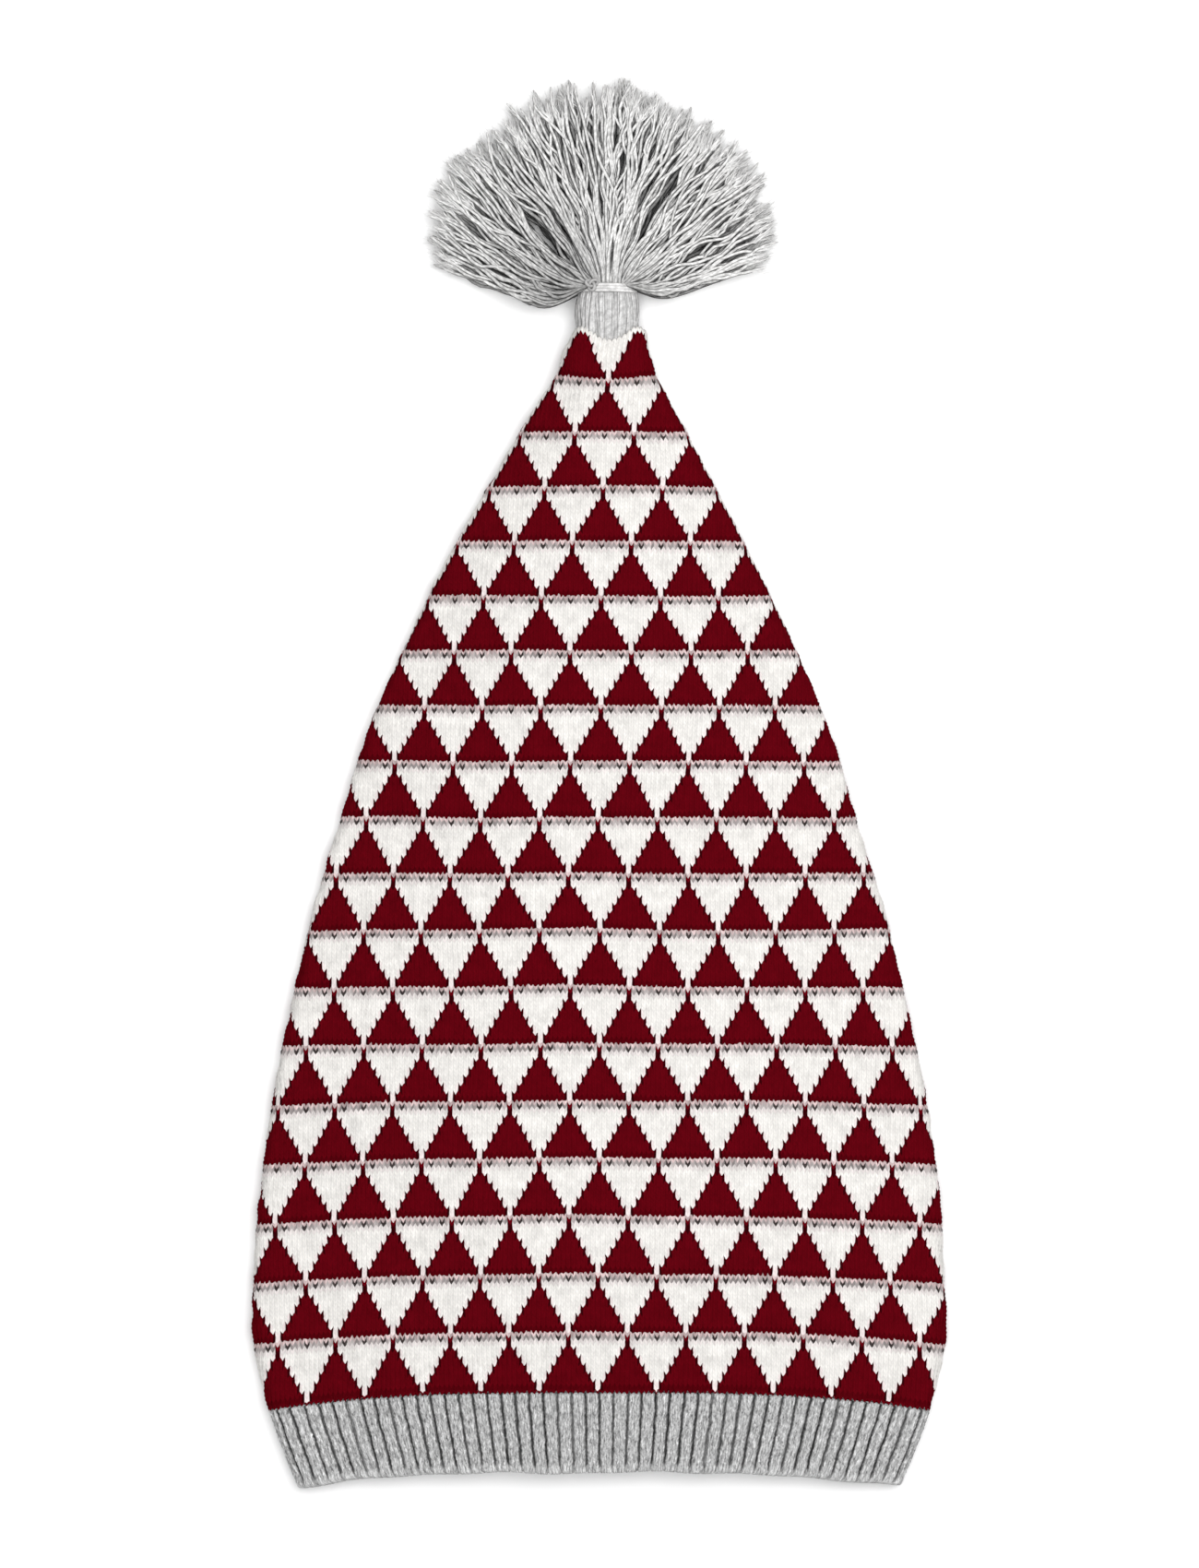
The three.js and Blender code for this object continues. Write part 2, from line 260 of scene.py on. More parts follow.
class Nodes:
    """Short forms for the nodes of one material."""

    def __init__(self, name):
        self.material = bpy.data.materials.new(name)
        self.material.use_nodes = True
        self.tree = self.material.node_tree
        self.shader = self.tree.nodes["Principled BSDF"]

    def feed(self, target, value):
        """Links a socket to the target, or sets a plain value on it."""
        if isinstance(value, bpy.types.NodeSocket):
            self.tree.links.new(value, target)
        else:
            target.default_value = value

    def node(self, kind, inputs, output=0, **settings):
        """Adds a node, feeds its inputs, and gives one of its outputs."""
        node = self.tree.nodes.new("ShaderNode" + kind)
        for key, value in settings.items():
            setattr(node, key, value)
        for key, value in inputs.items():
            self.feed(node.inputs[key], value)
        return node.outputs[output]

    def calc(self, operation, a, b=0.0):
        return self.node("Math", {0: a, 1: b}, operation=operation)

    def times(self, product, *others):
        for other in others:
            product = self.calc("MULTIPLY", product, other)
        return product

    def sine(self, place, half_waves):
        """A sine with so many half waves in a unit."""
        return self.calc("SINE", self.times(place, half_waves * math.pi))

    def humps(self, place, count):
        """Round humps from 0 to 1, so many in a unit."""
        return self.calc("ABSOLUTE", self.sine(place, count))

    def uv(self, name):
        return self.node("UVMap", {}, uv_map=name)

    def attribute(self, name, output="Fac"):
        return self.node("Attribute", {}, output, attribute_name=name)

    def split(self, vector):
        """The x and y of a vector."""
        return self.node("SeparateXYZ", {0: vector}).node.outputs[:2]

    def noise(self, place, stretch, detail, roughness=0.5):
        """Noise over a place, with each of its two coordinates multiplied."""
        stretched = self.node("VectorMath", {0: place, 1: (*stretch, 1.0)}, operation="MULTIPLY")
        inputs = {"Vector": stretched, "Scale": 1.0, "Detail": detail, "Roughness": roughness}
        return self.node("TexNoise", inputs, "Fac")

    def between(self, factor, to, span=(0.0, 1.0)):
        """A number from a span, mapped to a new span and held inside it."""
        limits = {"From Min": span[0], "From Max": span[1], "To Min": to[0], "To Max": to[1]}
        return self.node("MapRange", {"Value": factor, **limits}, "Result")

    def shaded(self, colour, factor):
        """A colour multiplied by a number."""
        return self.node("VectorMath", {0: colour, "Scale": factor}, operation="SCALE")

    def bump(self, height, distance):
        """Raises the surface by a height from 0 to 1, over a distance in millimetres."""
        normal = self.node("Bump", {"Height": height, "Distance": distance * MM, "Strength": 1.0})
        self.feed(self.shader.inputs["Normal"], normal)

    def finish(self, colour, specular=0.03):
        self.feed(self.shader.inputs["Base Color"], colour)
        self.shader.inputs["Roughness"].default_value = ROUGHNESS
        self.shader.inputs["Specular IOR Level"].default_value = specular
        return self.material


def knit_material(name, has_relief):
    """Jacquard knit: the chart's colours, with painted shade in the grooves, uneven yarn and fine fibres.
    Where the mesh has no relief, each leg of each stitch is raised by the shader."""
    nodes = Nodes(name)
    stitches = nodes.uv("knit")
    fibres = nodes.noise(stitches, stretch=(9.0, 3.0), detail=3.0, roughness=0.6)
    mottle = nodes.noise(stitches, stretch=(0.35, 0.35), detail=2.0)
    if has_relief:
        crest = nodes.attribute("crest")
        nodes.bump(fibres, distance=0.25)
    else:
        x, y = nodes.split(stitches)
        crest = nodes.times(nodes.humps(x, 2), nodes.between(nodes.humps(y, 1), to=(0.5, 1.0)))
        nodes.bump(nodes.calc("ADD", crest, nodes.times(fibres, 0.5)), distance=0.5)
    # Painted shade: the colour darkens towards the grooves, by the crest
    shade = nodes.times(
        nodes.between(crest, to=(0.73, 1.0)),
        nodes.between(fibres, to=(0.85, 1.12)),
        nodes.between(mottle, to=(0.92, 1.08), span=(0.3, 0.7)),
    )
    return nodes.finish(nodes.shaded(nodes.attribute("yarn", "Color"), shade), specular=0.0)


def lining_material():
    """The reverse of the jacquard, where the yarns cross in small flecks."""
    nodes = Nodes("knit_reverse")
    stitches = nodes.uv("knit")
    colours = {"Color1": (*YARNS["red"], 1.0), "Color2": (*YARNS["strip"], 1.0)}
    flecks = nodes.node("TexChecker", {"Vector": stitches, "Scale": 1.0, **colours}, "Color")
    fibres = nodes.noise(stitches, stretch=(6.0, 3.0), detail=3.0)
    nodes.bump(fibres, distance=0.4)
    return nodes.finish(nodes.shaded(flecks, nodes.between(fibres, to=(0.7, 1.2))))


def rib_material():
    """Heather grey rib: light and dark fibres spun together, with painted shade in the grooves, less in
    some that close.
    """
    nodes = Nodes("rib_knit")
    stitches = nodes.uv("knit")
    streaks = nodes.noise(stitches, stretch=(4.0, 0.45), detail=4.0, roughness=0.75)
    fibres = nodes.noise(stitches, stretch=(9.0, 2.2), detail=2.0, roughness=0.6)
    closed = nodes.noise(stitches, stretch=(0.8, 0.25), detail=1.0)
    heather = nodes.between(streaks, to=(0.10, 1.07), span=(0.33, 0.71))
    grey = nodes.node("CombineColor", {"Red": heather, "Green": heather, "Blue": heather})
    # Painted shade in the grooves, by the crest, lighter where grooves close
    groove = nodes.calc(
        "MAXIMUM",
        nodes.between(nodes.attribute("crest"), to=(0.03, 1.0), span=(0.0, 0.9)),
        nodes.between(closed, to=(0.0, 0.25), span=(0.45, 0.75)),
    )
    shade = nodes.times(groove, nodes.between(fibres, to=(0.74, 1.14), span=(0.3, 0.7)))
    nodes.bump(fibres, distance=0.35)
    return nodes.finish(nodes.shaded(grey, shade))


def yarn_material(name):
    """Plied yarn with fine fibres, a little uneven. Painted shade darkens the hollows between the plies,
    the sides of the strands and the deeper strands, as they lie close together, but not where they are
    bare or on their undersides."""
    pale, dark, twist, sides, depth = PLIED_YARNS[name]
    nodes = Nodes(name)
    wound = nodes.uv("yarn")
    around, along = nodes.split(wound)
    ply = nodes.humps(nodes.calc("ADD", nodes.times(around, PLIES), along), 1)
    ply = nodes.calc("POWER", ply, PLY_ROUNDNESS)
    fibres = nodes.noise(wound, stretch=(5.0, 3.0), detail=3.0, roughness=0.6)
    uneven = nodes.noise(wound, stretch=(0.5, 0.8), detail=1.0)
    # Painted shade on the sides of a strand and on deep strands, which spares the undersides
    upward = nodes.sine(around, 2)
    beneath = nodes.calc("LESS_THAN", upward, 0.0)
    beside = nodes.between(nodes.calc("ABSOLUTE", upward), to=(sides, 1.0), span=(0.15, 1.0))
    shade = nodes.times(
        nodes.between(ply, to=(twist, 1.0)),
        nodes.between(fibres, to=(0.88, 1.1)),
        nodes.between(uneven, to=(0.8, 1.12), span=(0.3, 0.7)),
        nodes.calc("MAXIMUM", nodes.between(nodes.attribute("shade"), to=(depth, 1.0)), beneath),
        nodes.calc("MAXIMUM", beside, nodes.attribute("bare")),
    )
    nodes.bump(nodes.calc("ADD", nodes.times(ply, 1 - twist), nodes.times(fibres, 0.4)), distance=0.3)
    paleness = nodes.between(fibres, to=(0.0, 1.0), span=(0.35, 0.65))
    mixed = {"Factor": paleness, "A": (*dark, 1.0), "B": (*pale, 1.0)}
    return nodes.finish(nodes.shaded(nodes.node("Mix", mixed, "Result", data_type="RGBA"), shade))


def floor_material():
    return Nodes("floor").finish(FLOOR_COLOUR, specular=0.1)


# Knit of the body

# Width of a wale, and how much the band gathers the wales, fading over a length
STITCH_WIDTH = 1.667
GATHER = 0.015
GATHER_LENGTH = 45.0
# Sideways shift of the pattern at the band and at the tip
PATTERN_LEAN = (-0.6, 0.9)
# The chart: stitches in a repeat, courses in a row, and stitches from fleck to fleck
REPEAT = 12
ROW_COURSES = 14
FLECK_SPACING = 4
# Start and height of the first row, and how much the rows draw in towards the tip
FIRST_ROW_ALONG = 27.54
ROW_HEIGHT = 19.73
ROW_TIGHTENING = 0.0448
FIRST_COURSE = -1
LAST_COURSE = 262

# Rise of a stitch's legs, in courses, and how much straighter and rougher a strip's upper edge is
LEG_RISE = 0.9
STRIP_EDGE_RISE = 0.55
STRIP_EDGE_RAGGED = 2.2

# Unevenness of the yarns from leg to leg, and shade of the first red course of a row
UNEVENNESS = {"strip": 0.4, "strip_top": 0.32, "strip_fade": 0.12, "fleck": 0.25}
PLAIN_UNEVENNESS = 0.05
FIRST_COURSE_SHADE = 0.72
# Shades drawn for a piece, and the steps between those of neighbouring legs and courses
SHADES = 4096
LEG_STEP = 1103
COURSE_STEP = 2131

# Pieces of the upper layer: name, first course and last course
FRONT_PIECES = (
    ("knit_front_lower", FIRST_COURSE, 70),
    ("knit_front_middle", 70, 154),
    ("knit_front_tip", 154, LAST_COURSE + 1),
)
# The upper layer ends this far below the middle of the side folds, where the back layer starts
FRONT_ANGLE_BELOW = math.radians(40)
# Height of a stitch at the columns of a wale, from its edge: groove, leg, middle, leg
WALE_PROFILE = np.array((0.0, 0.9, 0.35, 0.9))
# Share of that height where two courses meet, and lift of grooves and crests off the wall
BOUNDARY_SHARE = 0.45
GROOVE_LIFT = -0.42
CREST_LIFT = 0.1
# Grids of the two layers: wales to each side, columns in a wale, and rows in a course
FRONT_GRID = (78, len(WALE_PROFILE), 2)
BACK_GRID = (73, 2, 1)
# Waves of the loose fabric: size and wavelength
LOOSENESS = {
    "drift": (0.22, 26.0),
    "wave": (1.0, 60.0),
    "wander_across": (0.8, 80.0),
    "wander_along": (0.75, 90.0),
    "bumps": (0.6, 8.0),
}
# Spread of single points: across the hat, in height, and along the hat
JITTER = np.array((0.05, 0.06, 0.09))
# How far from the folds and from the ends the fabric comes loose, and from the folds, bumpy
FOLD_HOLD = 12.0
END_HOLD = 20.0
BUMP_HOLD = 3.0
# The inner edge of the tip's rim: drop below the outer edge, and place in the chart
RIM_DROP = 0.8
RIM_COURSE = LAST_COURSE + 0.5

# Lift of a stitch of the back layer
BACK_LIFT = {"middle": -0.1, "edge": -0.35}
# Rings of the lining: first, last and count
LINING_RINGS = ((BAND_HEIGHT, 340.0, 40), (345.0, TIP_ALONG, 14))
LINING_COLUMNS = 160


def course_along(course):
    """Distance of a course from the hem's middle."""
    row = course / ROW_COURSES
    return FIRST_ROW_ALONG + ROW_HEIGHT * row - ROW_TIGHTENING * row**2


def course_section(course):
    return Section(course_line(np.clip(course_along(course), BAND_HEIGHT, TIP_ALONG)))


def back_share(section):
    """Length of a side fold that belongs to the back layer."""
    return section.fold_length * (math.pi / 2 - FRONT_ANGLE_BELOW) / math.pi


def wale_place(u, along):
    """Distance of wales from the middle of the crown."""
    gathered = 1 - GATHER * math.exp(-(along - BAND_HEIGHT) / GATHER_LENGTH)
    lean = np.interp(along, (BAND_HEIGHT, TIP_ALONG), PATTERN_LEAN)
    return u * STITCH_WIDTH * gathered + lean


def is_strip_edge(course):
    return course % ROW_COURSES == 0


def leg_rise(u, course):
    """Rise of the stitches' legs from the middle of each wale to its edges, in millimetres."""
    step = course_along(course + 1) - course_along(course)
    share = STRIP_EDGE_RISE if is_strip_edge(course) else 1.0
    return 2 * np.abs(u - np.round(u)) * LEG_RISE * share * step


def chart(wale, course):
    """The name of the yarn of each stitch: rows of white triangles, points down, on red. The top of each
    row is a strip with evenly spaced flecks, and every other row is shifted by half a repeat."""
    row = course // ROW_COURSES
    up = course % ROW_COURSES
    down = ROW_COURSES - 1 - up
    half = REPEAT // 2
    off = np.abs((wale + (row % 2) * half + half) % REPEAT - half)
    reach = np.minimum(half - 1, up // 2)
    yarn = np.where(off <= reach, "white", "red").astype("<U10")
    yarn[(down == 2) & (yarn == "white")] = "strip_fade"
    yarn[down == 0] = "strip_top"
    yarn[(down == 1) & (off < half)] = "strip"
    yarn[(down == 1) & (off % FLECK_SPACING == 0)] = "fleck"
    yarn[course < 0] = "red"
    yarn[course >= LAST_COURSE - 1] = "white"
    return yarn


def leg_colours(wale, course, is_right_leg):
    """Linear colours of the stitches' legs. A red leg beside white lies in its shade, and a white one
    takes a little of the red's colour."""
    yarn = chart(wale, course)
    beside = chart(wale + np.where(is_right_leg, 1, -1), course)
    # Red legs beside white get a darker red as painted shade
    is_in_painted_shade = (yarn == "red") & np.isin(beside, ("white", "strip_fade"))
    is_tinted = (yarn == "white") & (beside == "red")
    spread = np.full(len(yarn), PLAIN_UNEVENNESS)
    for name, size in UNEVENNESS.items():
        spread[yarn == name] = size
    leg = 2 * wale + is_right_leg
    shade = 1 + spread * KNIT_RNG.uniform(-1, 1, SHADES)[(leg * LEG_STEP + course * COURSE_STEP) % SHADES]
    shade[(yarn == "red") & is_strip_edge(course)] *= FIRST_COURSE_SHADE
    yarn[is_in_painted_shade] = "painted_shade_red"
    yarn[is_tinted] = "edge_white"
    colours = np.zeros((len(yarn), 3))
    for name, colour in YARNS.items():
        colours[yarn == name] = colour
    return colours * shade[:, None]


def knit_grid(wales, columns_per_wale, rows_per_course):
    """Stitch coordinates of the columns and rows of a layer, with its middle wale at 0."""
    edge = wales * columns_per_wale + columns_per_wale // 2
    u = np.arange(-edge, edge + 1) / columns_per_wale
    v = np.arange(FIRST_COURSE * rows_per_course, LAST_COURSE * rows_per_course + 1) / rows_per_course
    return u, v


def knit_maps(u, v):
    """Stitch coordinates, and the same grid fitted to a unit square."""
    knit = np.stack(np.meshgrid(u, v), axis=-1).reshape(-1, 2)
    return {"knit": knit, "OFBake": (knit - knit[0]) / (knit[-1] - knit[0])}


def knit_faces(u, v, inside):
    """Faces with a corner inside a layer, and the colours of the legs that they lie on."""
    faces = grid_faces(len(v), len(u))
    kept = inside.ravel()[faces].any(axis=1)
    r, c = np.divmod(faces[:, 0], len(u))
    leg = (u[c] + u[c + 1]) / 2
    wale = np.round(leg).astype(int)
    colours = leg_colours(wale, np.floor(v[r]).astype(int), leg > wale)
    return faces[kept], colours[kept]


def front_grid():
    """The upper layer, with each leg of each stitch as a small pillow: its grid, its points, which of them
    lie on the layer, and how high each lies on its stitch. The fabric lies loose, except at its edges."""
    u, v = knit_grid(*FRONT_GRID)
    columns, rows = len(u), len(v)
    across_flat = u * STITCH_WIDTH
    along_flat = course_along(v)[:, None]
    moved = {}
    for name, (size, wavelength) in LOOSENESS.items():
        moved[name] = ripple(across_flat, along_flat, size, wavelength)
    jitter = KNIT_RNG.normal(0, 1, (len(JITTER), rows, columns)) * JITTER[:, None, None]
    jitter_across, jitter_height, jitter_along = jitter
    profile = np.resize(WALE_PROFILE, columns)
    points = np.zeros((rows, columns, 3))
    inside = np.zeros((rows, columns), bool)
    crest = np.zeros((rows, columns))
    for r, course in enumerate(v):
        section = course_section(course)
        along = section.line["along"]
        end = section.to_underside - back_share(section)
        s = wale_place(u, along) + moved["drift"][r] + jitter_across[r]
        from_fold = end - np.abs(s)
        from_ends = min(along - BAND_HEIGHT, TIP_ALONG - along)
        loose = ramp(from_fold, 0, FOLD_HOLD) * ramp(from_ends, 0, END_HOLD)
        bumpy = moved["bumps"][r] * ramp(from_fold, 0, BUMP_HOLD)
        s = s + moved["wander_across"][r] * loose
        inside[r] = np.abs(s) < end
        s = np.clip(s, -end, end)
        share = BOUNDARY_SHARE if course == int(course) else 1.0
        crest[r] = np.clip(profile * share + jitter_height[r], 0, 1)
        lift = GROOVE_LIFT + (CREST_LIFT - GROOVE_LIFT) * crest[r] + moved["wave"][r] * loose + bumpy
        ragged = jitter_along[r] * (STRIP_EDGE_RAGGED if is_strip_edge(course) else 1.0)
        shift = leg_rise(u, course) + moved["drift"][r] + ragged + moved["wander_along"][r] * loose
        shift = np.where(inside[r], shift, 0.0)
        points[r] = section.place(s, lift, shift)
    rim = section.place(s, -KNIT_WALL, shift - RIM_DROP)
    points = np.concatenate([points, rim[None]])
    inside, crest = (np.vstack([grid, grid[-1:]]) for grid in (inside, crest))
    return u, np.append(v, RIM_COURSE), points, inside, crest


def front_pieces(material):
    """The upper layer, cut along courses into pieces that share the stitches where they meet."""
    u, v, points, inside, crest = front_grid()
    for name, first, last in FRONT_PIECES:
        rows = slice(np.searchsorted(v, first), np.searchsorted(v, last, side="right"))
        on_piece = np.flatnonzero(inside[rows].any(axis=0))
        across = slice(max(on_piece[0] - 1, 0), on_piece[-1] + 2)
        faces, colours = knit_faces(u[across], v[rows], inside[rows, across])
        piece = make_piece(name, points[rows, across].reshape(-1, 3), faces, material,
                           knit_maps(u[across], v[rows]), colours, {"crest": crest[rows, across].ravel()})
        dress(piece, "hat_body")


def back_piece(material):
    """The layer that the hat lies on, with plain stitches."""
    u, v = knit_grid(*BACK_GRID)
    columns, rows = len(u), len(v)
    lift = np.where(u == np.round(u), BACK_LIFT["middle"], BACK_LIFT["edge"])
    points = np.zeros((rows, columns, 3))
    inside = np.zeros((rows, columns), bool)
    for r, course in enumerate(v):
        section = course_section(course)
        end = section.total - section.to_underside + back_share(section)
        t = wale_place(u, section.line["along"])
        inside[r] = np.abs(t) < end
        t = np.clip(t, -end, end)
        s = np.where(t < 0, -1.0, 1.0) * (section.total - np.abs(t))
        points[r] = section.place(s, lift, np.where(inside[r], leg_rise(u, course), 0.0))
    faces, colours = knit_faces(u, v, inside)
    points = points.reshape(-1, 3)
    return make_piece("knit_back", points, faces[:, ::-1], material, knit_maps(u, v), colours)


def lining_piece(material):
    """The inner face of the body's wall."""
    alongs = np.concatenate([np.linspace(*rings) for rings in LINING_RINGS])
    turns = np.linspace(-1, 1, LINING_COLUMNS, endpoint=False)
    points, knit = [], []
    for along in alongs:
        section = Section(course_line(along), KNIT_WALL)
        s = turns * section.total
        course = along / ROW_HEIGHT * ROW_COURSES
        points.append(section.place(s, 0.0, 0.0))
        knit.append(np.column_stack([s / STITCH_WIDTH, np.full(len(s), course)]))
    faces = grid_faces(len(alongs), len(turns), is_ring=True)
    maps = {"knit": np.vstack(knit), "OFBake": square_map((turns + 1) / 2, len(alongs))}
    return make_piece("knit_reverse", np.vstack(points), faces[:, ::-1], material, maps)


# Rib band

RIB_COUNT = 96
RIB_COURSES = 20
RIB_STEP = BAND_HEIGHT / RIB_COURSES
# Stitches from rib to rib, for the fibres' pattern
RIB_STITCHES = 2.5
# Depth of the grooves, and its range from rib to rib
RIB_DEPTH = 1.2
RIB_DEPTHS = (0.75, 1.15)
# Columns round one rib: place in its pitch, height above the groove, and how far a leg rises there
RIB_COLUMNS = np.array([
    (0.00, 0.00, 0.5),
    (0.04, 0.12, 0.7),
    (0.10, 0.80, 0.9),
    (0.19, 1.00, 0.5),
    (0.29, 0.82, 0.0),
    (0.40, 1.00, 0.5),
    (0.50, 0.72, 0.9),
    (0.60, 1.00, 0.5),
    (0.71, 0.82, 0.0),
    (0.81, 1.00, 0.5),
    (0.90, 0.80, 0.9),
    (0.96, 0.12, 0.7),
])
RIB_HIGHEST = 1.1
# Some ribs are lower at their edges, for wider grooves: share of the pitch, and of the height
RIB_EDGE = 0.15
RIB_NARROWING = 0.6
# How light the most closed grooves are, and the inner face
CLOSED_LIGHT = 0.35
INSIDE_LIGHT = 0.7
# Wobble of the ribs: size and wavelength, over the band's length
RIB_WOBBLE = (0.28, 14.0)
BAND_LENGTH = 440.0
# Spread of single points, in height and across
RIB_PUFF = 0.12
RIB_STRAY = 0.1

# How far the band reaches under the knit, and its inset there
BAND_TUCK = 0.5
TUCK_INSET = 0.8
# The ribs fade near the hem, which is scalloped by them and hangs in a few slack waves
HEM_FADE = 3.0
HEM_LEAST = 0.35
HEM_SCALLOP = 0.6
HEM_SLACK = 0.22
HEM_SLACK_CYCLES = (5, 9, 16)
# Rounded hem: distance from the edge, inset from the outer face, and course in the fibres' pattern
HEM_ROWS = ((0.7, 0.1, 0.5), (0.2, 0.5, 0.2), (0.0, 1.4, -0.1), (0.2, 2.3, -0.4), (0.7, RIB_WALL, -0.7))
# Rows of the inner face: distance of the first from the edge, their count, and course at the edge
INSIDE_STARTS = 3.0
INSIDE_ROWS = 10
INSIDE_COURSE = -2
# Height of the ribs: at the tuck, on a course, where two courses meet, and at the hem
ROW_SHARE = {"tuck": 0.9, "course": 1.0, "boundary": 0.84, "hem": 0.95}


def band_rows():
    """Rows of vertices from the top of the band down its outside, round the hem and up its inside:
    distance along the hat, inset from the outer face, course, and height share of the row."""
    top = BAND_HEIGHT + BAND_TUCK
    rows = [(top, TUCK_INSET, RIB_COURSES + 0.5, ROW_SHARE["tuck"])]
    for half_courses in range(2 * RIB_COURSES, 1, -1):
        share = ROW_SHARE["course"] if half_courses % 2 else ROW_SHARE["boundary"]
        rows.append((half_courses / 2 * RIB_STEP, 0.0, half_courses / 2, share))
    for row in HEM_ROWS:
        rows.append((*row, ROW_SHARE["hem"]))
    for along in np.linspace(INSIDE_STARTS, top, INSIDE_ROWS):
        rows.append((along, RIB_WALL, INSIDE_COURSE - along / RIB_STEP, ROW_SHARE["hem"]))
    return rows


def each_rib(numbers):
    """Numbers of the ribs, repeated for their columns."""
    return np.repeat(numbers, len(RIB_COLUMNS))


def band_piece(material):
    """The ribs of the band, outside, round the hem and inside."""
    in_pitch, tall, rise = np.tile(RIB_COLUMNS, (RIB_COUNT, 1)).T
    place = (each_rib(np.arange(RIB_COUNT)) + in_pitch) / RIB_COUNT
    is_edge = np.minimum(in_pitch, 1 - in_pitch) < RIB_EDGE
    rows = band_rows()
    shape = (len(rows), len(place))
    depth = RIB_DEPTH * each_rib(KNIT_RNG.uniform(*RIB_DEPTHS, RIB_COUNT))
    closed = each_rib(CLOSED_LIGHT * KNIT_RNG.random(RIB_COUNT) ** 2)
    wobble = ripple(place * BAND_LENGTH, np.arange(len(rows))[:, None], *RIB_WOBBLE)
    puff = RIB_PUFF * KNIT_RNG.normal(0, 1, shape)
    stray = RIB_STRAY * KNIT_RNG.normal(0, 1, shape)
    scallop = HEM_SCALLOP * (tall - 0.5)
    slack = np.zeros(len(place))
    for cycles in HEM_SLACK_CYCLES:
        slack += HEM_SLACK * np.sin(math.tau * (cycles * place + KNIT_RNG.random()))
    narrowed = RIB_NARROWING * each_rib(KNIT_RNG.random(RIB_COUNT))
    tall = np.where(is_edge, tall * (1 - narrowed), tall)
    points, crest, knit = [], [], []
    for r, (along, inset, course, share) in enumerate(rows):
        section = Section(course_line(along), inset)
        s = (2 * place - 1) * section.total + wobble[r] + stray[r]
        fade = np.clip(along / HEM_FADE, HEM_LEAST, 1)
        if inset < RIB_WALL / 2:
            height = np.clip(tall * share + puff[r] * tall, 0, RIB_HIGHEST)
            height = 1 - (1 - height) * fade
            lift = depth * (height - 1)
            # The crest sets the painted shade of the grooves, less where they close
            crest.append(np.maximum(height, closed))
        else:
            height = (1 - tall) * fade
            lift = depth * height
            crest.append(INSIDE_LIGHT + (1 - INSIDE_LIGHT) * height)
        is_plain = inset > 0 or along > BAND_HEIGHT - RIB_STEP
        shift = np.zeros(len(place)) if is_plain else (rise - 0.5) * RIB_STEP * fade
        shift = shift - slack * max(0, 1 - along / BAND_HEIGHT) - scallop * max(0, 1 - along / HEM_FADE)
        points.append(section.place(s, lift, shift))
        knit.append(np.column_stack([place * RIB_COUNT * RIB_STITCHES, np.full(len(place), course)]))
    faces = grid_faces(*shape, is_ring=True)
    maps = {"knit": np.vstack(knit), "OFBake": square_map(place, len(rows))}
    return make_piece("rib_band_knit", np.vstack(points), faces[:, ::-1], material, maps,
                      values={"crest": np.concatenate(crest)})


# Tassel

# Form of the neck: distance along the hat, half width and half height
NECK_FORM = np.array([
    (374.0, 6.4, 3.2),
    (380.0, 8.4, 4.6),
    (386.0, 9.5, 5.4),
    (390.0, 9.8, 5.6),
    (394.5, 9.6, 5.4),
    (398.0, 8.8, 4.9),
    (401.0, 8.4, 4.8),
])
NECK_X = 2.8
NECK_MIDDLE_Z = 7.2
TIE_ALONG = 399.4
# Yarns of the neck: in two rings, the inner ring's size, points along a yarn, and its end
NECK_OUTER = 84
NECK_INNER = 40
NECK_INNER_SIZE = 0.86
NECK_STEPS = 16
NECK_END = TIE_ALONG + 1.0
# Their sway, their spread, their thickness and its range, and the light on them
NECK_SWAY = 0.28
NECK_STRAY = 0.25
NECK_RADIUS = 0.72
NECK_RADII = (0.85, 1.25)
NECK_LIGHT = (0.2, 1.0)
# The tie: points in a turn, half width and height, distance from turn to turn, and its knot
TIE_TURNS = 3
TIE_TURN_STEPS = 40
TIE_HALF = {"x": 9.4, "z": 6.4}
TIE_PITCH = 0.95
KNOT_SIZE = 2.1
KNOT_RISE = 0.5
KNOT_PLACE = (-2.6, 400.2, 14.1)
# Thickness of its yarn and light on it, in the turns and in the knot
TIE_RADII = np.array([[0.62], [0.58]])
TIE_LIGHT = np.array([[0.95], [0.35]])

STRANDS = 430
# Points along a strand, as shares of its length, closer together where it leaves the tie
STRAND_PLACES = np.append(0.98 * np.linspace(0, 1, 25) ** 1.35, 1.0)
# A strand's thickness, its range, and its taper: places along it, and shares of the thickness
STRAND_RADIUS = 0.61
STRAND_RADII = (0.85, 1.15)
STRAND_TAPER = ((0.85, 0.98, 1.0), (1.0, 0.8, 0.3))
# Length of strand in which its plies turn once
PLY_PITCH = 2.8
STRAND_SIDES = 6
FRAYED_SIDES = 3
TIE_SIDES = 8

# The fan: its middle, its lowest angle from the right, and its reach at angles, in degrees
FAN_CENTRE = {"x": 3.0, "along": 402.0}
FAN_EDGE_ANGLE = 5.0
FAN_REACH = np.array([
    (2.0, 55.5),
    (15.0, 54.5),
    (32.0, 61.0),
    (50.0, 59.5),
    (65.0, 64.5),
    (90.0, 69.0),
    (115.0, 66.5),
    (145.0, 64.5),
    (165.0, 61.0),
    (178.0, 59.0),
])
# How far the strands at the edges hang, and swing out as they leave the tie
FAN_DROOP = {"left": 10.0, "right": 7.0}
FAN_SHOULDER = 10.0
# Rise of the upper strands before they spread, as a share of the way to upright
FAN_RISE = 0.45
# Angles where the fan parts, in degrees, and size and width of a parting, in radians
FAN_PARTINGS = (58.0, 136.0)
PARTING_PUSH = 0.065
PARTING_WIDTH = 0.2
# Neighbouring strands lie in layers far apart, so that deep strands close the gaps everywhere
GOLDEN_SHARE = 0.618
LAYER_JITTER = 0.2
# Locks: spread of their places, how far they draw strands together, and the ranges of reach
LOCKS = 26
LOCK_STRAY = 0.25
LOCK_DRAW = 0.5
LOCK_REACH = (0.94, 1.05)
STRAND_REACH = (0.91, 1.03)
